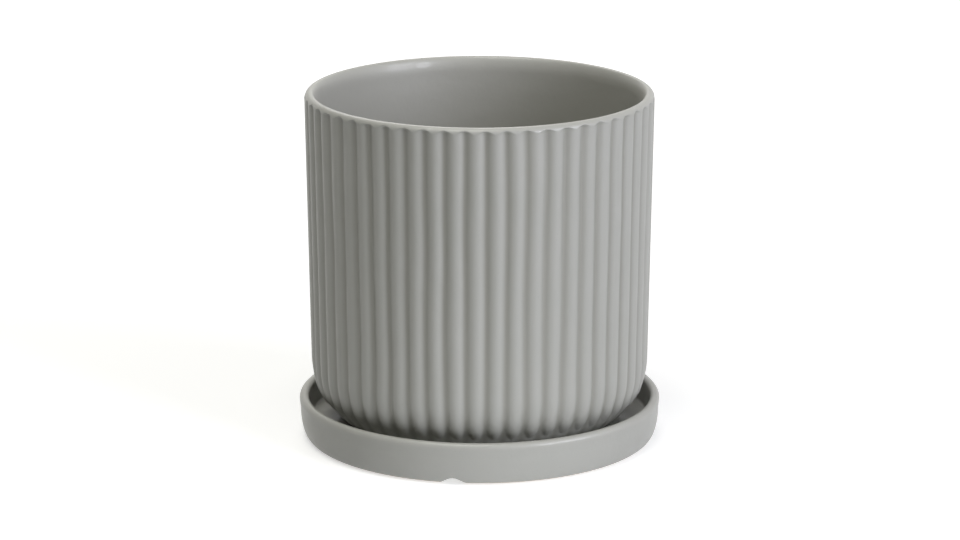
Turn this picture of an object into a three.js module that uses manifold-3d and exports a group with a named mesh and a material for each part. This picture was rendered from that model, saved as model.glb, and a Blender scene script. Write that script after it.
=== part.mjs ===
// A fluted round cachepot of glazed stoneware, standing in its own shallow saucer.
// The pot lifts out of the saucer, a rubber stopper pulls out of its drain hole, and three rubber feet
// under the saucer carry the set. Millimetres, +Z up, origin on the ground under the pot's axis.

import * as THREE from 'three';
import { mergeVertices } from 'three/addons/utils/BufferGeometryUtils.js';
import Module from 'manifold-3d';

// Pot, outside
const potRadius = 75; // over the ribs, at the lip
const potHeight = 145.7; // foot to lip
const potTaper = 1.8; // radius lost from the lip down to the base curve
const baseCurveWidth = 21.4; // the rounded base edge is a quarter of an ellipse, over the ribs
const baseCurveRise = 30.4;
const lipOuterRound = 2.7;
const lipInnerWidth = 2.3; // the lip's inner edge is a quarter of an ellipse, flared a little
const lipInnerDrop = 7;

// Ribs and the grooves between them
const ribCount = 54;
const grooveDepth = 1.3;
const grooveShare = 0.4; // part of each pitch that is hollow, the rest is a round rib
const firstGrooveDeg = 1.9; // from the front (-Y) towards +X
const grooveTopGap = 1.4; // plain lip above the grooves' round upper ends
const grooveTopRun = 2.2; // height over which a groove reaches its full depth
const grooveTopRing = 0.35; // where along that height the run-out is faceted once more
const ribTipHeight = 9.5; // above the foot, where the ribs' round lower tips end on the base curve
const ribTipRun = 5.5; // height over which a tip rises to the full rib

// Pot, inside and underneath
const potWall = 5.2;
const potFloor = 5.5;
const potFootRadius = 53;
const potFootWidth = 6;
const potFootStep = 0.4; // foot ring below the base curve
const potFootRecess = 1.5; // hollow inside the foot ring
const drainRadius = 7;
const plugSeatDepth = 2.2; // sunk round the drain hole, so that the stopper lies just under the floor

// Saucer
const saucerRadius = 78.6; // over the lip
const saucerHeight = 18.1; // foot to lip
const saucerWall = 4.2; // its lip is a full half-round of this width
const saucerTaper = 0.4; // radius lost from the lip down to the lower corner
const saucerCornerRise = 12; // height of the soft lower corner
const saucerCornerInset = 3.6; // width of the soft lower corner
const saucerFloor = 4.6;
const saucerFootWidth = 5.5;
const saucerFootBevel = 1.8; // inside edge of the foot ring
const saucerFootRecess = 1.8;
const saucerInnerRound = 1.4; // where its floor meets its wall
const ventDeg = -8.8; // notch through the foot ring, from the front towards +X
const ventRadius = 7;
const ventHeight = 2.3;

// Stopper and feet
const plugClearance = 0.3; // round the stem and the flange
const plugStemLength = 4.2;
const plugStemTaper = 0.9;
const plugFlangeRadius = 12;
const plugFlangeThickness = 2;
const plugFlangeRound = 0.8;
const feetCount = 3;
const feetRadius = 6;
const feetThickness = 2.3;
const feetGap = 3.3; // between a foot and the bevel of the saucer's foot ring
const feetRound = 0.8;

// Radii that the foot ring, its notch and the feet share
const saucerFootOuter = saucerRadius - saucerTaper - saucerCornerInset;
const saucerFootInner = saucerFootOuter - saucerFootWidth;
const saucerHollow = saucerFootInner - saucerFootBevel;

// How finely the round forms are faceted
const facetsPerRib = 6;
const ringFacets = 96;
const smallFacets = 32;
const baseCurveSteps = 5;
const lipOuterSteps = 2;
const lipInnerSteps = 4;
const saucerCornerSteps = 6;
const saucerLipSteps = 6;
const smallRoundSteps = 3;

const cutPast = 1; // how far a cutting form runs past the face that it opens

const wasm = await Module();
wasm.setup();

// Points of a quarter of an ellipse round (cx, cy), from one angle to another in degrees
function arc(cx, cy, rx, ry, fromDeg, toDeg, steps) {
  const points = [];
  for (let i = 0; i <= steps; i += 1) {
    const angle = THREE.MathUtils.degToRad(fromDeg + ((toDeg - fromDeg) * i) / steps);
    points.push(new THREE.Vector2(cx + rx * Math.cos(angle), cy + ry * Math.sin(angle)));
  }
  return points;
}

function point(radius, height) {
  return new THREE.Vector2(radius, height);
}

// A profile of radius and height turned about the vertical axis, starting at the front
function turned(profile, facets, startAngle = 0) {
  const geometry = new THREE.LatheGeometry(profile, facets, startAngle);
  geometry.rotateX(Math.PI / 2);
  return geometry;
}

// Shared corners become one vertex, and the flat triangles at the axis are left out
function welded(geometry) {
  const bare = geometry.clone();
  bare.deleteAttribute('normal');
  bare.deleteAttribute('uv');
  const merged = mergeVertices(bare);
  const index = merged.getIndex().array;
  const kept = [];
  for (let i = 0; i < index.length; i += 3) {
    const [a, b, c] = [index[i], index[i + 1], index[i + 2]];
    if (a !== b && b !== c && c !== a) kept.push(a, b, c);
  }
  merged.setIndex(kept);
  return merged;
}

function toSolid(geometry) {
  const mesh = welded(geometry);
  const vertProperties = new Float32Array(mesh.getAttribute('position').array);
  const triVerts = new Uint32Array(mesh.getIndex().array);
  return new wasm.Manifold(new wasm.Mesh({ numProp: 3, vertProperties, triVerts }));
}

function toGeometry(solid) {
  const { vertProperties, triVerts } = solid.getMesh();
  const geometry = new THREE.BufferGeometry();
  geometry.setAttribute('position', new THREE.BufferAttribute(vertProperties, 3));
  geometry.setIndex(new THREE.BufferAttribute(triVerts, 1));
  return geometry;
}

function cut(body, tools) {
  return toGeometry(tools.reduce((solid, tool) => solid.subtract(toSolid(tool)), toSolid(body)));
}

// How high the fluted skin stands over the grooves' bottoms, 0 in a groove's middle and 1 on a crest:
// a hollow parabola in the groove that runs smoothly into a round one on the rib
function ribRise(fromGroove) {
  if (fromGroove < grooveShare) return fromGroove ** 2 / grooveShare;
  return 1 - (1 - fromGroove) ** 2 / (1 - grooveShare);
}

// The grooves sink in under round arches below the lip, and the ribs end in round tips on the base curve
function skinDepth(fromGroove, height) {
  const rise = ribRise(fromGroove);
  const belowArch = (potHeight - grooveTopGap - height) / grooveTopRun;
  if (belowArch < 1) {
    const sunk = Math.sqrt(1 - (1 - Math.max(belowArch, 0)) ** 2);
    return grooveDepth * Math.max(0, sunk - rise);
  }
  const aboveTip = THREE.MathUtils.clamp((height - ribTipHeight) / ribTipRun, 0, 1);
  const standing = Math.sqrt(1 - (1 - aboveTip) ** 2);
  return grooveDepth * (1 - Math.max(0, rise - (1 - standing)));
}

// Which way the base curve faces at one of its points
function curveSlope(at, centre) {
  const across = (at.x - centre.x) / baseCurveWidth ** 2;
  const up = (at.y - centre.y) / baseCurveRise ** 2;
  return point(across, up).normalize();
}

// The outside of the pot as a full body: foot ring, base curve, tapering wall and round lip.
// Each ring of the turned form is drawn in across its own slope by the depth of the flutes there.
function flutedBody() {
  const curveCentre = point(
    potRadius - potTaper - baseCurveWidth,
    potFootStep + baseCurveRise - grooveDepth,
  );
  const footShare = (potFootRadius - curveCentre.x) / baseCurveWidth;
  const footAngle = -THREE.MathUtils.radToDeg(Math.acos(footShare));
  const lipCentre = point(potRadius - lipOuterRound, potHeight - lipOuterRound);
  const grooveTop = potHeight - grooveTopGap;
  const wallRings = [grooveTop - grooveTopRun, grooveTop - grooveTopRing * grooveTopRun];
  const lipAngle = THREE.MathUtils.radToDeg(Math.asin((grooveTop - lipCentre.y) / lipOuterRound));

  const profile = [
    point(0, 0),
    point(potFootRadius, 0),
    ...arc(
      curveCentre.x,
      curveCentre.y,
      baseCurveWidth,
      baseCurveRise,
      footAngle,
      0,
      baseCurveSteps,
    ),
    ...wallRings.map((height) => point(potRadius, height)),
    ...arc(
      lipCentre.x,
      lipCentre.y,
      lipOuterRound,
      lipOuterRound,
      lipAngle,
      90,
      lipOuterSteps,
    ),
    point(0, potHeight),
  ];
  const facets = ribCount * facetsPerRib;
  const startAngle = THREE.MathUtils.degToRad(firstGrooveDeg);
  const geometry = turned(profile, facets, startAngle);

  const position = geometry.getAttribute('position');
  const firstSkinRing = 2; // after the middle and the edge of the foot
  for (let facet = 0; facet <= facets; facet += 1) {
    const turns = (facet % facetsPerRib) / facetsPerRib;
    const fromGroove = 2 * Math.min(turns, 1 - turns);
    const angle = startAngle + (2 * Math.PI * facet) / facets;
    for (let ring = firstSkinRing; ring < profile.length - 1; ring += 1) {
      const at = profile[ring];
      const slope = at.y < curveCentre.y ? curveSlope(at, curveCentre) : point(1, 0);
      const depth = skinDepth(fromGroove, at.y);
      const radius = at.x - depth * slope.x;
      position.setXYZ(
        facet * profile.length + ring,
        radius * Math.sin(angle),
        -radius * Math.cos(angle),
        at.y - depth * slope.y,
      );
    }
  }
  return geometry;
}

function potGeometry() {
  const innerTop = potRadius - potWall;
  const curveWidth = baseCurveWidth - potWall;
  const curveRise = baseCurveRise - potWall;
  const curveRadius = potRadius - potTaper - baseCurveWidth;
  const floorTop = potFootRecess + potFloor;
  const lipCentre = point(innerTop + lipInnerWidth, potHeight - lipInnerDrop);
  const cavity = turned(
    [
      point(0, floorTop),
      ...arc(curveRadius, floorTop + curveRise, curveWidth, curveRise, -90, 0, baseCurveSteps),
      ...arc(lipCentre.x, lipCentre.y, lipInnerWidth, lipInnerDrop, 180, 90, lipInnerSteps),
      point(lipCentre.x, potHeight + cutPast),
      point(0, potHeight + cutPast),
    ],
    ringFacets,
  );
  const footHollow = turned(
    [
      point(0, -cutPast),
      point(potFootRadius - potFootWidth, -cutPast),
      point(potFootRadius - potFootWidth, potFootRecess),
      point(0, potFootRecess),
    ],
    ringFacets,
  );
  const seatRadius = plugFlangeRadius + plugClearance;
  const drain = turned(
    [
      point(0, potFootRecess - cutPast),
      point(drainRadius, potFootRecess - cutPast),
      point(drainRadius, floorTop - plugSeatDepth),
      point(seatRadius, floorTop - plugSeatDepth),
      point(seatRadius, floorTop + cutPast),
      point(0, floorTop + cutPast),
    ],
    smallFacets,
  );
  return cut(flutedBody(), [cavity, footHollow, drain]);
}

function saucerGeometry() {
  const lipRadius = saucerWall / 2;
  const lipCentre = point(saucerRadius - lipRadius, saucerHeight - lipRadius);
  const floorTop = saucerFootRecess + saucerFloor;
  const innerBottom = saucerRadius - saucerTaper - saucerWall;
  const body = turned(
    [
      point(0, saucerFootRecess),
      point(saucerHollow, saucerFootRecess),
      point(saucerFootInner, 0),
      ...arc(
        saucerFootOuter,
        saucerCornerRise,
        saucerCornerInset,
        saucerCornerRise,
        -90,
        0,
        saucerCornerSteps,
      ),
      ...arc(lipCentre.x, lipCentre.y, lipRadius, lipRadius, 0, 180, saucerLipSteps),
      ...arc(
        innerBottom - saucerInnerRound,
        floorTop + saucerInnerRound,
        saucerInnerRound,
        saucerInnerRound,
        0,
        -90,
        smallRoundSteps,
      ),
      point(0, floorTop),
    ],
    ringFacets,
  );

  // The notch is a round bar laid along a radius, with only its top inside the foot ring
  const notchInner = saucerHollow - cutPast;
  const notchLength = saucerRadius + cutPast - notchInner;
  const notch = new THREE.CylinderGeometry(ventRadius, ventRadius, notchLength, smallFacets);
  notch.translate(0, -notchInner - notchLength / 2, ventHeight - ventRadius);
  notch.rotateZ(THREE.MathUtils.degToRad(ventDeg));
  return cut(body, [notch]);
}

// A soft stopper: a stem that narrows downwards, under a flange that lies in the seat in the pot's floor
function plugGeometry() {
  const stemTop = drainRadius - plugClearance;
  const roundCentre = point(plugFlangeRadius - plugFlangeRound, plugFlangeThickness - plugFlangeRound);
  return turned(
    [
      point(0, -plugStemLength),
      point(stemTop - plugStemTaper, -plugStemLength),
      point(stemTop, 0),
      point(plugFlangeRadius, 0),
      ...arc(
        roundCentre.x,
        roundCentre.y,
        plugFlangeRound,
        plugFlangeRound,
        0,
        90,
        smallRoundSteps,
      ),
      point(0, plugFlangeThickness),
    ],
    smallFacets,
  );
}

// A low round bumper, rounded where it meets the ground and flat where it is stuck on
function footGeometry() {
  return turned(
    [
      point(0, 0),
      ...arc(feetRadius - feetRound, feetRound, feetRound, feetRound, -90, 0, smallRoundSteps),
      point(feetRadius, feetThickness),
      point(0, feetThickness),
    ],
    smallFacets,
  );
}

const stoneware = new THREE.MeshStandardMaterial({ color: 0xa8a8a2, roughness: 0.4, metalness: 0 });
const stopperRubber = new THREE.MeshStandardMaterial({ color: 0x3c3d3b, roughness: 0.7, metalness: 0 });
const footRubber = new THREE.MeshStandardMaterial({ color: 0x6d6d69, roughness: 0.55, metalness: 0 });

function named(name, geometry, material) {
  const mesh = new THREE.Mesh(geometry, material);
  mesh.name = name;
  return mesh;
}

// The saucer stands on its feet, which reach out of the hollow inside its foot ring
const saucerFootLevel = feetThickness - saucerFootRecess;
const saucer = named('saucer', saucerGeometry(), stoneware);
saucer.position.z = saucerFootLevel;

const feetCircle = saucerHollow - feetGap - feetRadius;
const feet = new THREE.Group();
for (let i = 0; i < feetCount; i += 1) {
  const foot = named(`saucer_foot_${i + 1}`, footGeometry(), footRubber);
  const angle = (2 * Math.PI * i) / feetCount;
  foot.position.set(feetCircle * Math.sin(angle), -feetCircle * Math.cos(angle), 0);
  feet.add(foot);
}

// The pot's foot stands on the saucer's floor, and its stopper goes with it
const potOnSaucer = new THREE.Group();
potOnSaucer.position.z = saucerFootLevel + saucerFootRecess + saucerFloor;
const plug = named('drain_plug', plugGeometry(), stopperRubber);
plug.position.z = potFootRecess + potFloor - plugSeatDepth;
potOnSaucer.add(named('pot', potGeometry(), stoneware), plug);

const cachepot = new THREE.Group();
cachepot.add(saucer, feet, potOnSaucer);

export default cachepot;
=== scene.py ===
# A fluted stoneware cachepot standing in its own saucer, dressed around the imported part.
# Metres, +Z up. The side that the photograph shows, the front, looks towards -Y.
import math

import bmesh
import bpy
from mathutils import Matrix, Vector, noise


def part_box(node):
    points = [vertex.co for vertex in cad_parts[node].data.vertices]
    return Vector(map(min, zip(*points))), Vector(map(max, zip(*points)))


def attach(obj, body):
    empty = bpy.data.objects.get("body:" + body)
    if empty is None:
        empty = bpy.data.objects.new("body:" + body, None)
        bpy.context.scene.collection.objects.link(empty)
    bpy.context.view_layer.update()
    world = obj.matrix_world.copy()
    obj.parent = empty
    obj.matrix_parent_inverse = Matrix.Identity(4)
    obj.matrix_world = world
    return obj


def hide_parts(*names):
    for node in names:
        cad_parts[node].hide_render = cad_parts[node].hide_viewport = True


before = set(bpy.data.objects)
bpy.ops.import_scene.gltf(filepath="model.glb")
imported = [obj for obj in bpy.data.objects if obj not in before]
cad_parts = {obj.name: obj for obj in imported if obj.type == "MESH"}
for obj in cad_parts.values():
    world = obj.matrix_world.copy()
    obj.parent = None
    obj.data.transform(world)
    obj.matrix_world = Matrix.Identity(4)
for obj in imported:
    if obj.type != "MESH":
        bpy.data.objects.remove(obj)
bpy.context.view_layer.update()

bpy.context.scene.view_settings.view_transform = "Standard"


# The camera stands well back and looks a little down on the set through a long lens, so the
# pot's sides run almost straight down and the rims show as flat ellipses.
camera_distance = 1.570
camera_elevation = math.radians(15.10)
camera_aim = Vector((0.0002, 0, 0.0729))
focal_length_pixels = 3620
photo_width_pixels = 960

lens = bpy.data.cameras.new("camera")
lens.sensor_width = 36
lens.lens = focal_length_pixels / photo_width_pixels * lens.sensor_width
lens.clip_end = 50
camera = bpy.data.objects.new("camera", lens)
camera.location = camera_aim + camera_distance * Vector(
    (0, -math.cos(camera_elevation), math.sin(camera_elevation))
)
camera.rotation_euler = (math.pi / 2 - camera_elevation, 0, 0)
bpy.context.scene.collection.objects.link(camera)
bpy.context.scene.camera = camera


# The pot: cast stoneware in one piece, with 54 round ribs that start under the lip and end in
# round tips on the rounded base. It is glazed all over in a satin warm grey, and its foot ring
# is wiped bare. It stands loose in the saucer.
pot_low, pot_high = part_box("pot")
pot_foot = pot_low.z
pot_height = pot_high.z - pot_foot
pot_radius = 0.075
pot_taper = 0.0018
base_curve = Vector((0.0214, 0.0304))
lip_outer_round = 0.0027
lip_inner_round = Vector((0.0023, 0.007))
pot_wall = 0.0052
pot_floor = 0.007
foot_radius = 0.053
foot_ring_width = 0.006
foot_step = 0.0004
foot_recess = 0.0015
drain_radius = 0.007
stopper_seat_radius = 0.0123
stopper_seat_depth = 0.0022
fired_edge = 0.0004
fired_nook = 0.0003

rib_count = 54
steps_per_rib = 16
groove_depth = 0.0015
groove_share = 0.3
first_groove = math.radians(1.9)
groove_top_gap = 0.0014
groove_top_run = 0.0016
rib_tip_height = 0.009
rib_tip_run = 0.0065
tip_margin = 0.001
arch_rows = 12
arch_row_spread = 1.6

# No two ribs are alike: how far they waver sideways, in ribs, how much their arches and depths
# differ, and where in the noise each rib draws its own
rib_waver = 0.085
waver_grain = Vector((50, 50, 28))
arch_waver = 0.0003
arch_draw = (1.7, 0.5)
depth_waver = 0.06
depth_draw = (2.3, 9.5)

# Thickness of the glaze, from 0, thin, to 1, pooled. Thicker glaze is coloured darker and
# thinner glaze paler;
# in the grooves this is partly painted shade, and on the inner wall partly painted light.
usual_glaze = 0.5
lip_outer_glaze = 0.3
inner_corner_glaze = 0.45
# The inner wall's paler glaze is partly painted light, brightening the inside of the pot
inner_wall_glaze_and_light = 0.25
# Glaze pooling in the grooves darkens them, partly as painted shade
groove_pooling_and_shade = 0.5


def arc(centre, radii, start, end, steps):
    """Points on a round or an ellipse between two angles in degrees; 0 is outwards, 90 up."""
    points = []
    for step in range(steps + 1):
        angle = math.radians(start + (end - start) * step / steps)
        points.append(
            (centre[0] + radii[0] * math.cos(angle), centre[1] + radii[1] * math.sin(angle))
        )
    return points


def straight(start, end, steps):
    """Points between two others, without the first and the last."""
    return [
        tuple(Vector(start).lerp(Vector(end), step / steps)) for step in range(1, steps)
    ]


def soft_corners(corners, steps=2, row_beside=1.6):
    """Points round corners, each eased over its own length of edge, with a row close beside the
    rounding to hold it; a corner with an ease of 0 stays sharp."""
    points = []
    for index, (radius, height, ease) in enumerate(corners):
        corner = Vector((radius, height))
        if ease == 0:
            points.append(tuple(corner))
            continue
        before = (Vector(corners[index - 1][:2]) - corner).normalized() * ease
        after = (Vector(corners[index + 1][:2]) - corner).normalized() * ease
        points.append(tuple(corner + before * row_beside))
        for step in range(steps + 1):
            share = step / steps
            points.append(tuple(corner + before * (1 - share) ** 2 + after * share**2))
        points.append(tuple(corner + after * row_beside))
    return points


def mark(outline, across=0.0, up=0.0, glaze=usual_glaze):
    """Outline points with the way that the grooves sink in there, and the glaze's thickness."""
    return [(radius, height, across, up, glaze) for radius, height in outline]


def turn_outline(mesh, outline, level, sectors, steps, start=0.0, closed=False):
    """Turns an outline about the upright axis through one sector, then sets that sector all
    round and welds its seams and poles."""
    slope = mesh.verts.layers.float_vector.new("slope")
    glaze = mesh.verts.layers.float.new("glaze")
    line = []
    for radius, height, across, up, thickness in outline:
        x, y = radius * math.sin(start), -radius * math.cos(start)
        vertex = mesh.verts.new((x, y, level + height))
        vertex[slope] = (across, 0, up)
        vertex[glaze] = thickness
        line.append(vertex)
    following = line[1:] + line[:1] if closed else line[1:]
    edges = [mesh.edges.new(pair) for pair in zip(line, following)]
    sector = 2 * math.pi / sectors
    upright = {"cent": (0, 0, 0), "axis": (0, 0, 1)}
    bmesh.ops.spin(mesh, geom=line + edges, angle=sector, steps=steps, **upright)
    bmesh.ops.spin(
        mesh,
        geom=mesh.verts[:] + mesh.edges[:] + mesh.faces[:],
        angle=2 * math.pi - sector,
        steps=sectors - 1,
        use_duplicate=True,
        **upright,
    )
    bmesh.ops.remove_doubles(mesh, verts=mesh.verts, dist=1e-6)
    bmesh.ops.recalc_face_normals(mesh, faces=mesh.faces)


def finished_piece(name, mesh, material):
    """Makes the mesh an object with smooth faces and its material."""
    for face in mesh.faces:
        face.smooth = True
    data = bpy.data.meshes.new(name)
    mesh.to_mesh(data)
    mesh.free()
    data.materials.append(material)
    piece = bpy.data.objects.new(name, data)
    bpy.context.scene.collection.objects.link(piece)
    return piece


# Outside, from the lip down to the foot: round lip, rows close together where the grooves'
# arches are, plain wall, and base curve with the rib tips
curve_centre = Vector(
    (pot_radius - pot_taper - base_curve.x, foot_step + base_curve.y - groove_depth)
)
foot_angle = -math.degrees(math.acos((foot_radius - curve_centre.x) / base_curve.x))
lip_centre = (pot_radius - lip_outer_round, pot_height - lip_outer_round)
lip_radii = (lip_outer_round, lip_outer_round)
groove_top = pot_height - groove_top_gap
groove_top_angle = math.degrees(math.asin((groove_top - lip_centre[1]) / lip_outer_round))
lip_outside = arc(lip_centre, lip_radii, 90, groove_top_angle, steps=6)
arches = []
for row in range(1, arch_rows + 1):
    below = groove_top_run * (row / arch_rows) ** arch_row_spread
    height = groove_top - below
    rise = max(height - lip_centre[1], 0)
    arches.append((lip_centre[0] + math.sqrt(lip_outer_round**2 - rise**2), height))
wall_foot = (curve_centre.x + base_curve.x, curve_centre.y)

outline = mark(lip_outside, across=1, glaze=lip_outer_glaze)
outline += mark(arches + straight(arches[-1], wall_foot, steps=11), across=1)
tip_heights = (rib_tip_height + rib_tip_run + tip_margin, rib_tip_height - tip_margin)
tip_angles = [
    math.degrees(math.asin((height - curve_centre.y) / base_curve.y)) for height in tip_heights
]
base_outline = arc(curve_centre, base_curve, 0, tip_angles[0], steps=4)
base_outline += arc(curve_centre, base_curve, *tip_angles, steps=12)[1:]
base_outline += arc(curve_centre, base_curve, tip_angles[1], foot_angle, steps=5)[1:]
for radius, height in base_outline:
    facing = Vector(
        (
            (radius - curve_centre.x) / base_curve.x**2,
            (height - curve_centre.y) / base_curve.y**2,
        )
    ).normalized()
    outline += mark([(radius, height)], across=facing.x, up=facing.y)

# Foot ring, hollow underneath, drain hole and the stopper's seat. The first and the last corner
# belong to the curves on either side.
inner_foot = foot_radius - foot_ring_width
seat_level = pot_floor - stopper_seat_depth
underside = soft_corners(
    [
        (foot_radius, foot_step, 0),
        (foot_radius, 0, fired_nook),
        (inner_foot, 0, fired_edge),
        (inner_foot, foot_recess, fired_edge),
        (drain_radius, foot_recess, fired_edge),
        (drain_radius, seat_level, fired_nook),
        (stopper_seat_radius, seat_level, fired_nook),
        (stopper_seat_radius, pot_floor, fired_edge),
        (curve_centre.x, pot_floor, 0),
    ]
)
outline += mark(underside[1:-1])

# Smooth inside: rounded corner, wall and the lip's flared inner edge
inner_curve = (base_curve.x - pot_wall, base_curve.y - pot_wall)
inner_centre = (curve_centre.x, pot_floor + inner_curve[1])
lip_inner_centre = (
    pot_radius - pot_wall + lip_inner_round.x,
    pot_height - lip_inner_round.y,
)
inside_corner = arc(inner_centre, inner_curve, -90, 0, steps=14)
lip_inside = arc(lip_inner_centre, lip_inner_round, 180, 90, steps=10)
inside_wall = straight(inside_corner[-1], lip_inside[0], steps=4)
outline += mark(inside_corner, glaze=inner_corner_glaze)
# The inside wall gets paler glaze, partly as painted light in the pot
outline += mark(inside_wall + lip_inside, glaze=inner_wall_glaze_and_light)

pot_mesh = bmesh.new()
turn_outline(
    pot_mesh, outline, pot_foot, rib_count, steps_per_rib, start=first_groove, closed=True
)


def rib_rise(from_groove):
    """How high the skin stands between a groove's middle, 0, and a rib's crest, 1."""
    if from_groove < groove_share:
        return from_groove**2 / groove_share
    return 1 - (1 - from_groove) ** 2 / (1 - groove_share)


def flute(vertex, across, up, glaze_layer):
    """Sinks the grooves in, with round arches at the top and round rib tips at the foot. No two
    are quite alike."""
    height = vertex.co.z - pot_foot
    radius = math.hypot(vertex.co.x, vertex.co.y)
    turned = math.atan2(vertex.co.x, -vertex.co.y) - first_groove
    ribs = turned / (2 * math.pi) * rib_count
    ribs += rib_waver * noise.noise(vertex.co * waver_grain)
    groove = round(ribs) % rib_count
    from_groove = min(2 * abs(ribs - round(ribs)), 1)
    arch_noise = noise.noise(Vector((groove * arch_draw[0], arch_draw[1], 0)))
    own_gap = arch_waver * arch_noise
    depth_noise = noise.noise(Vector((groove * depth_draw[0], depth_draw[1], 0)))
    own_depth = groove_depth * (1 + depth_waver * depth_noise)
    rise = rib_rise(from_groove)
    below_arch = (groove_top - own_gap * (1 - from_groove) - height) / groove_top_run
    above_tip = min(max((height - rib_tip_height) / rib_tip_run, 0), 1)
    standing = 1 - (1 - above_tip) ** 2
    if below_arch < 1:
        sunk = math.sqrt(1 - (1 - max(below_arch, 0)) ** 2)
        depth = own_depth * max(0, sunk - rise)
    else:
        depth = own_depth * (1 - max(0, rise - (1 - standing)))
    vertex.co.x -= depth * across * vertex.co.x / radius
    vertex.co.y -= depth * across * vertex.co.y / radius
    vertex.co.z -= depth * up
    # Glaze gathers in the grooves and darkens them, partly as painted shade
    vertex[glaze_layer] += groove_pooling_and_shade * (1 - rise) * depth / groove_depth


slope_layer = pot_mesh.verts.layers.float_vector["slope"]
glaze_layer = pot_mesh.verts.layers.float["glaze"]
for vertex in pot_mesh.verts:
    across, _, up = vertex[slope_layer]
    if across or up:
        flute(vertex, across, up, glaze_layer)


def add_node(owner, kind, settings=(), **values):
    """A shader node with its settings, and with values or links on its sockets. A socket is
    given by its name, or by an underscore and its number."""
    tree = owner.node_tree
    node = tree.nodes.new("ShaderNode" + kind)
    for key, value in dict(settings).items():
        setattr(node, key, value)
    for key, value in values.items():
        numbered = key[1:].isdigit()
        socket = node.inputs[int(key[1:]) if numbered else key.replace("_", " ")]
        if isinstance(value, bpy.types.NodeSocket):
            tree.links.new(value, socket)
        else:
            socket.default_value = value
    return node


def scaled(material, value, span, to_span):
    """The value with one span stretched to another, and held inside it."""
    node = add_node(
        material,
        "MapRange",
        From_Min=span[0],
        From_Max=span[1],
        To_Min=to_span[0],
        To_Max=to_span[1],
        Value=value,
    )
    return node.outputs["Result"]


def blended(material, share, first, second):
    """One colour laid over another by a share."""
    node = add_node(material, "Mix", {"data_type": "RGBA"}, _0=share, _6=first, _7=second)
    return node.outputs[2]


# Colours of the glaze and of bare clay, and the spans of noise or glaze thickness that they need
noise_span = (0.3, 0.7)
pooled_thickness = (0.55, 1.0)
thin_thickness = (0.45, 0.25)
thin_share = (0, 0.7)
drift_share = (0, 0.5)
speck_reach = (0.06, 0.14)
speck_share = (0.12, 0)
glaze_pale = (0.405, 0.405, 0.374, 1)
glaze_deep = (0.381, 0.384, 0.352, 1)
glaze_drift = (0.392, 0.390, 0.357, 1)
glaze_pooled_and_painted_shade = (0.270, 0.268, 0.236, 1)
glaze_thin_and_painted_light = (0.425, 0.420, 0.385, 1)
speck_tone = (0.24, 0.23, 0.20, 1)
clay_dark = (0.50, 0.43, 0.34, 1)
clay_pale = (0.60, 0.53, 0.43, 1)
glaze_line = (0.0003, 0.0005)
glaze_line_waver = 0.0001
satin_roughness = (0.47, 0.53)
clay_roughness = 0.85


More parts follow.
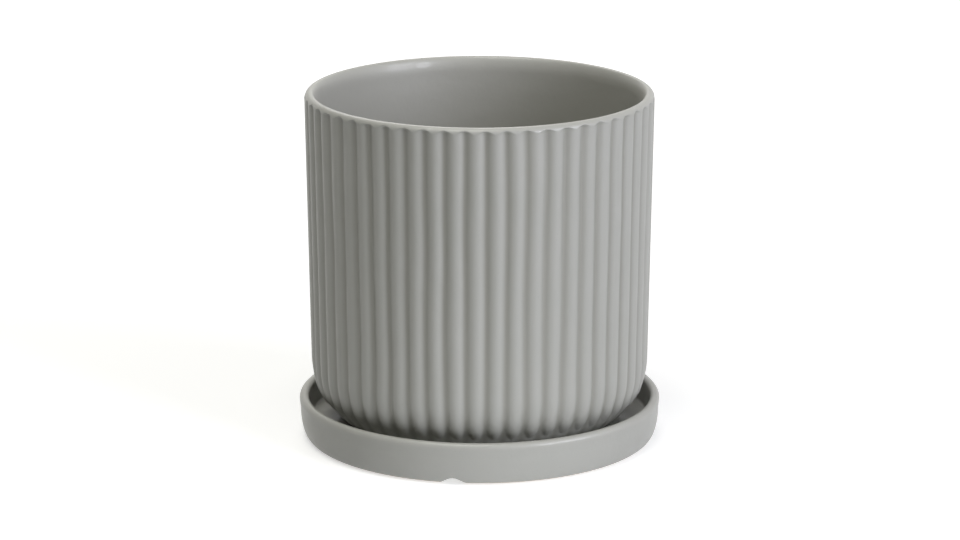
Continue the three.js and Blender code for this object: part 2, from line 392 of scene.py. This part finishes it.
def satin_glaze(name, foot):
    """Warm grey glaze: cloudy at a thumb's width, thinner on edges, gathered in hollows, and
    wiped off the foot. The darker glaze in the grooves is partly painted shade, and the paler
    glaze on the inner wall is partly painted light."""
    material = bpy.data.materials.new(name)
    material.use_nodes = True
    shader = material.node_tree.nodes["Principled BSDF"]
    shader.inputs["Specular IOR Level"].default_value = 0.8
    shader.inputs["Coat Weight"].default_value = 0.25
    shader.inputs["Coat Roughness"].default_value = 0.12
    place = add_node(material, "TexCoord").outputs["Object"]
    clouds = add_node(material, "TexNoise", Vector=place, Scale=34, Detail=4, Roughness=0.55)
    drift = add_node(material, "TexNoise", Vector=place, Scale=150, Detail=3, Roughness=0.5)
    peel = add_node(material, "TexNoise", Vector=place, Scale=620, Detail=2, Roughness=0.5)
    grain = add_node(material, "TexNoise", Vector=place, Scale=2600, Detail=2, Roughness=0.6)
    specks = add_node(material, "TexVoronoi", Vector=place, Scale=330, Randomness=1)
    thickness = add_node(material, "Attribute", {"attribute_name": "glaze"}).outputs["Fac"]
    height = add_node(material, "SeparateXYZ", Vector=place).outputs["Z"]

    # Colour: clouds and drift between close greys, darker where it pooled, warmer where thin.
    # The darkening in the grooves is partly painted shade, and the paler inner wall partly
    # painted light.
    cloudy = scaled(material, clouds.outputs["Fac"], noise_span, (0, 1))
    drifting = scaled(material, drift.outputs["Fac"], noise_span, drift_share)
    colour = blended(material, cloudy, glaze_pale, glaze_deep)
    colour = blended(material, drifting, colour, glaze_drift)
    pooled_and_painted_shade = scaled(material, thickness, pooled_thickness, (0, 1))
    colour = blended(material, pooled_and_painted_shade, colour, glaze_pooled_and_painted_shade)
    thin_and_painted_light = scaled(material, thickness, thin_thickness, thin_share)
    colour = blended(material, thin_and_painted_light, colour, glaze_thin_and_painted_light)
    speck = scaled(material, specks.outputs["Distance"], speck_reach, speck_share)
    colour = blended(material, speck, colour, speck_tone)

    # The wiped foot shows light clay below a slightly wavering glaze line
    line_span = (-glaze_line_waver, glaze_line_waver)
    waver = scaled(material, drift.outputs["Fac"], noise_span, line_span)
    above_foot = add_node(material, "Math", {"operation": "ADD"}, _0=height, _1=waver)
    line = (foot + glaze_line[0], foot + glaze_line[1])
    bare = scaled(material, above_foot.outputs[0], line, (1, 0))
    clay = blended(material, grain.outputs["Fac"], clay_dark, clay_pale)
    colour = blended(material, bare, colour, clay)
    material.node_tree.links.new(colour, shader.inputs["Base Color"])

    # Satin, a little uneven, over a skin with the fine dimples and soft waves of fired glaze
    satin = scaled(material, drift.outputs["Fac"], noise_span, satin_roughness)
    rough = add_node(
        material, "Mix", {"data_type": "FLOAT"}, _0=bare, _2=satin, _3=clay_roughness
    )
    material.node_tree.links.new(rough.outputs[0], shader.inputs["Roughness"])
    dimples = add_node(
        material, "Bump", Height=peel.outputs["Fac"], Strength=0.5, Distance=0.00006
    )
    waves = add_node(
        material,
        "Bump",
        Height=drift.outputs["Fac"],
        Normal=dimples.outputs[0],
        Strength=0.5,
        Distance=0.0003,
    )
    material.node_tree.links.new(waves.outputs[0], shader.inputs["Normal"])
    return material


pot = finished_piece("fluted_pot", pot_mesh, satin_glaze("pot_glaze", pot_foot))
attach(pot, "pot")
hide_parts("pot")


# The saucer: a shallow cast dish in the same glaze, with a full round lip, a soft lower corner
# and a foot ring. A small arched notch through the ring at the front lets air under the dish.
saucer_low, saucer_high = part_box("saucer")
saucer_foot = saucer_low.z
saucer_height = saucer_high.z - saucer_foot
saucer_radius = saucer_high.x
saucer_wall = 0.0042
saucer_taper = 0.0004
saucer_corner = (0.0036, 0.012)
saucer_ring_width = 0.0055
saucer_ring_bevel = 0.0018
saucer_ring_ease = 0.0004
saucer_recess = 0.0018
saucer_floor = pot_foot - saucer_foot
saucer_inner_round = 0.0014
saucer_sectors = 40
saucer_sector_steps = 18
notch_turn = math.radians(-8.45)
notch_half_width = 0.0061
notch_height = 0.0026
notch_softness = 1.8
saucer_lip_glaze = 0.32
saucer_nook_glaze = 0.7
saucer_floor_glaze = 0.6

corner_top = saucer_radius - saucer_taper
ring_outer = corner_top - saucer_corner[0]
ring_inner = ring_outer - saucer_ring_width
hollow_edge = ring_inner - saucer_ring_bevel
lip_half = saucer_wall / 2
saucer_lip_centre = (saucer_radius - lip_half, saucer_height - lip_half)
inner_wall = corner_top - saucer_wall
inner_round = (saucer_inner_round, saucer_inner_round)
inner_round_centre = (inner_wall - saucer_inner_round, saucer_floor + saucer_inner_round)
corner_round = arc((ring_outer, saucer_corner[1]), saucer_corner, -90, 0, steps=26)
lip_round = arc(saucer_lip_centre, (lip_half, lip_half), 0, 180, steps=18)
inner_corner = arc(inner_round_centre, inner_round, 0, -90, steps=6)

# Hollow and foot ring, with rows close together where the notch goes through
hollow = soft_corners(
    [
        (0, saucer_recess, 0),
        (hollow_edge, saucer_recess, saucer_ring_ease),
        (ring_inner, 0, 0),
    ]
)
outline = mark(hollow[:-1])
outline += mark(straight((hollow_edge, saucer_recess), (ring_inner, 0), steps=7)[2:])
outline += mark([(ring_inner, 0)] + straight((ring_inner, 0), (ring_outer, 0), steps=6))

# Lower corner, wall, lip and the inside
outline += mark(corner_round)
outline += mark(straight(corner_round[-1], lip_round[0], steps=3))
outline += mark(lip_round, glaze=saucer_lip_glaze)
outline += mark(straight(lip_round[-1], inner_corner[0], steps=4))
outline += mark(inner_corner, glaze=saucer_nook_glaze)
inner_floor = straight(inner_corner[-1], (0, saucer_floor), steps=8) + [(0, saucer_floor)]
outline += mark(inner_floor, glaze=saucer_floor_glaze)

saucer_mesh = bmesh.new()
turn_outline(
    saucer_mesh, outline, saucer_foot, saucer_sectors, saucer_sector_steps, start=notch_turn
)

# The notch: an arch along one radius, which runs out over the ring's inner bevel
for vertex in saucer_mesh.verts:
    beside = vertex.co.x * math.cos(notch_turn) + vertex.co.y * math.sin(notch_turn)
    ahead = vertex.co.x * math.sin(notch_turn) - vertex.co.y * math.cos(notch_turn)
    if ahead > hollow_edge and abs(beside) < notch_half_width:
        arch = notch_height * (1 - (beside / notch_half_width) ** 2) ** notch_softness
        over_bevel = min((ahead - hollow_edge) / saucer_ring_bevel, 1)
        highest = saucer_recess + (notch_height - saucer_recess) * over_bevel
        vertex.co.z = max(vertex.co.z, saucer_foot + min(arch, highest))
saucer = finished_piece("saucer_dish", saucer_mesh, satin_glaze("saucer_glaze", saucer_foot))
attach(saucer, "saucer")
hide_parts("saucer")


# The stopper: one moulding of soft dark rubber, pushed into the drain hole from inside the pot.
# Its flange lies in a sunk seat, and two thin beads round the hollow stem seal in the hole.
plug_low, plug_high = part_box("drain_plug")
stem_length = 0.0042
flange_level = plug_low.z + stem_length
flange_thickness = plug_high.z - flange_level
flange_radius = 0.012
flange_round = 0.0008
stem_top_radius = 0.0067
stem_foot_radius = 0.0058
stem_hollow_radius = 0.0036
stem_hollow_depth = 0.0036
bead_size = (0.00022, 0.0004)
bead_places = (0.35, 0.7)
dish_radius = 0.0096
dish_depth = 0.0007
boss_radius = 0.0042
boss_drop = 0.0001
moulded_edge = 0.0003
stopper_tone = (0.045, 0.047, 0.044, 1)
stopper_dust = (0.085, 0.085, 0.078, 1)
dust_patches = (0.4, 0.75)
dust_share = (0, 0.5)
grain_contrast = (0.85, 1.12)
rubber_roughness = (0.6, 0.78)


def rubber(name, tone, dust):
    """Matt moulded rubber: a fine even grain under a patchy bloom of dust."""
    material = bpy.data.materials.new(name)
    material.use_nodes = True
    shader = material.node_tree.nodes["Principled BSDF"]
    place = add_node(material, "TexCoord").outputs["Object"]
    bloom = add_node(material, "TexNoise", Vector=place, Scale=260, Detail=5, Roughness=0.65)
    grain = add_node(material, "TexNoise", Vector=place, Scale=4200, Detail=2, Roughness=0.6)
    dusty = scaled(material, bloom.outputs["Fac"], dust_patches, dust_share)
    fine = scaled(material, grain.outputs["Fac"], noise_span, grain_contrast)
    colour = blended(material, dusty, tone, dust)
    grained = add_node(
        material, "VectorMath", {"operation": "SCALE"}, _0=colour, Scale=fine
    )
    material.node_tree.links.new(grained.outputs[0], shader.inputs["Base Color"])
    matt = scaled(material, bloom.outputs["Fac"], noise_span, rubber_roughness)
    material.node_tree.links.new(matt, shader.inputs["Roughness"])
    skin = add_node(
        material, "Bump", Height=grain.outputs["Fac"], Strength=0.4, Distance=0.00004
    )
    material.node_tree.links.new(skin.outputs[0], shader.inputs["Normal"])
    return material


# Heights from the flange's underside
hollow_top = stem_hollow_depth - stem_length
dish_level = flange_thickness - dish_depth
boss_level = flange_thickness - boss_drop
beads = []
for share in bead_places:
    radius = stem_foot_radius + (stem_top_radius - stem_foot_radius) * share
    beads += arc((radius, -stem_length * (1 - share)), bead_size, -90, 90, steps=6)
outline = soft_corners(
    [
        (0, hollow_top, 0),
        (stem_hollow_radius, hollow_top, 2 * moulded_edge),
        (stem_hollow_radius, -stem_length, moulded_edge),
        (stem_foot_radius, -stem_length, moulded_edge),
        *[(*point, 0) for point in beads],
        (stem_top_radius, 0, moulded_edge / 2),
        (flange_radius, 0, moulded_edge / 2),
        (flange_radius, flange_thickness, flange_round),
        (dish_radius, flange_thickness, moulded_edge),
        (dish_radius, dish_level, moulded_edge / 2),
        (boss_radius, dish_level, moulded_edge / 2),
        (boss_radius, boss_level, moulded_edge / 2),
        (0, boss_level, 0),
    ],
    steps=4,
)
plug_mesh = bmesh.new()
turn_outline(plug_mesh, mark(outline), flange_level, sectors=12, steps=8)
stopper = finished_piece(
    "drain_stopper", plug_mesh, rubber("stopper_rubber", stopper_tone, stopper_dust)
)
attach(stopper, "stopper")
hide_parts("drain_plug")


# Three low round rubber feet, each stuck into the hollow under the saucer by a thin adhesive
# disc, keep the glaze off the sill. They have a rolled edge and a moulded dimple underneath.
feet_round = 0.0008
disc_thickness = 0.0003
disc_inset = 0.0004
dimple_radius = 0.0024
dimple_depth = 0.00018
dimple_rows = 4
feet_tone = (0.153, 0.153, 0.141, 1)
feet_dust = (0.22, 0.22, 0.205, 1)
feet_rubber = rubber("feet_rubber", feet_tone, feet_dust)
feet_names = sorted(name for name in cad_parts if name.startswith("saucer_foot"))
for name in feet_names:
    low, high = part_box(name)
    middle = (low + high) / 2
    radius = (high.x - low.x) / 2
    tall = high.z - low.z
    outline = []
    for row in range(dimple_rows + 1):
        share = row / dimple_rows
        outline.append((dimple_radius * share, dimple_depth * (1 - share**2)))
    outline += soft_corners(
        [
            (dimple_radius, 0, 0),
            (radius, 0, feet_round),
            (radius, tall - disc_thickness, moulded_edge),
            (radius - disc_inset, tall - disc_thickness, 0),
            (radius - disc_inset, tall, 0),
            (0, tall, 0),
        ],
        steps=6,
    )[1:]
    foot_mesh = bmesh.new()
    turn_outline(foot_mesh, mark(outline), low.z, sectors=12, steps=6)
    bmesh.ops.translate(foot_mesh, verts=foot_mesh.verts, vec=(middle.x, middle.y, 0))
    bumper = finished_piece("rubber_" + name, foot_mesh, feet_rubber)
    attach(bumper, "saucer")
    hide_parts(name)


# A plain pale floor without an edge in sight. Seen directly it is white with only a faint
# shadow, as in a product photograph. To the set itself it is a matt sheet with a pool of soft
# light on it, in front of the pot and a little to the right.
floor_size = 4.0
white = (1, 1, 1, 1)
paper_glow = (0.57, 1.0)
paper_reach = (0.1, 1.3)
paper_shading = 0.75
sheet_white = 0.4
pool_light = 0.88
pool_place = (0.015, -0.168, 0)
pool_inside = 0.03
pool_outside = 0.18
pool_tint = (0.95, 0.97, 1, 1)


def seen_directly(owner):
    """1 for what the camera, a reflection or a clear material sees, and 0 for soft light."""
    rays = add_node(owner, "LightPath").outputs
    reflected = add_node(
        owner,
        "Math",
        {"operation": "MAXIMUM"},
        _0=rays["Is Camera Ray"],
        _1=rays["Is Glossy Ray"],
    )
    seen = add_node(
        owner,
        "Math",
        {"operation": "MAXIMUM"},
        _0=reflected.outputs[0],
        _1=rays["Is Transmission Ray"],
    )
    return seen.outputs[0]


white_sheet = bpy.data.materials.new("white_sheet")
white_sheet.use_nodes = True
white_sheet.node_tree.nodes.clear()
place = add_node(white_sheet, "TexCoord").outputs["Object"]

# What is seen: paper that takes the set's shadow. It glows more the farther it is from the
# pot, where the lamps reach it less.
from_pot = add_node(white_sheet, "VectorMath", {"operation": "LENGTH"}, _0=place)
brightness = scaled(white_sheet, from_pot.outputs["Value"], paper_reach, paper_glow)
glow = add_node(white_sheet, "Emission", Color=white, Strength=brightness)
shading = add_node(white_sheet, "BsdfDiffuse", Color=(paper_shading,) * 3 + (1,))
paper = add_node(white_sheet, "AddShader", _0=glow.outputs[0], _1=shading.outputs[0])

# What lights the set: a matt sheet and the pool of light on it
distance = add_node(
    white_sheet, "VectorMath", {"operation": "DISTANCE"}, _0=place, _1=pool_place
)
pool = add_node(
    white_sheet,
    "MapRange",
    {"interpolation_type": "SMOOTHSTEP"},
    Value=distance.outputs["Value"],
    From_Min=pool_inside,
    From_Max=pool_outside,
    To_Min=pool_light,
    To_Max=0,
)
lit = add_node(white_sheet, "Emission", Color=pool_tint, Strength=pool.outputs[0])
matt = add_node(white_sheet, "BsdfDiffuse", Color=(sheet_white,) * 3 + (1,))
sheet = add_node(white_sheet, "AddShader", _0=lit.outputs[0], _1=matt.outputs[0])
either = add_node(
    white_sheet,
    "MixShader",
    _0=seen_directly(white_sheet),
    _1=sheet.outputs[0],
    _2=paper.outputs[0],
)
add_node(white_sheet, "OutputMaterial", Surface=either.outputs[0])
floor_mesh = bmesh.new()
bmesh.ops.create_grid(floor_mesh, x_segments=1, y_segments=1, size=floor_size)
floor = finished_piece("floor", floor_mesh, white_sheet)


# Plain soft studio light: two tall soft boxes to the right of the camera, slightly cool, a wide
# one high on the left, which reaches into the pot, and a weaker one behind for the back. The
# room adds a little warm light, and is white where it is seen.
room_light = 0.03
room_tint = (1, 0.94, 0.72, 1)
light_distance = 1.4


def soft_box(name, azimuth, elevation, width, height, watts, tint):
    """A soft light aimed at the pot; azimuth 0 is the camera's side and 90 the right."""
    light = bpy.data.lights.new(name, "AREA")
    light.shape = "RECTANGLE"
    light.size = width
    light.size_y = height
    light.energy = watts
    light.color = tint
    turn, lift = math.radians(azimuth), math.radians(elevation)
    lamp = bpy.data.objects.new(name, light)
    lamp.location = camera_aim + light_distance * Vector(
        (math.sin(turn) * math.cos(lift), -math.cos(turn) * math.cos(lift), math.sin(lift))
    )
    lamp.rotation_euler = (camera_aim - lamp.location).to_track_quat("-Z", "Y").to_euler()
    bpy.context.scene.collection.objects.link(lamp)


soft_box("side_light", 62, 20, width=0.45, height=0.80, watts=7.8, tint=(0.90, 0.91, 1))
soft_box("front_light", 42, 20, width=0.25, height=0.60, watts=5.8, tint=(0.90, 0.91, 1))
soft_box("top_light", -32, 73, width=0.70, height=0.70, watts=9, tint=(1, 1, 0.93))
soft_box("back_light", 188, 42, width=0.60, height=0.60, watts=3.2, tint=(1, 0.99, 0.96))

world = bpy.data.worlds.new("studio")
bpy.context.scene.world = world
world.use_nodes = True
seen = seen_directly(world)
level = add_node(world, "MapRange", Value=seen, To_Min=room_light, To_Max=1)
colour = blended(world, seen, room_tint, white)
background = world.node_tree.nodes["Background"]
world.node_tree.links.new(colour, background.inputs["Color"])
world.node_tree.links.new(level.outputs["Result"], background.inputs["Strength"])
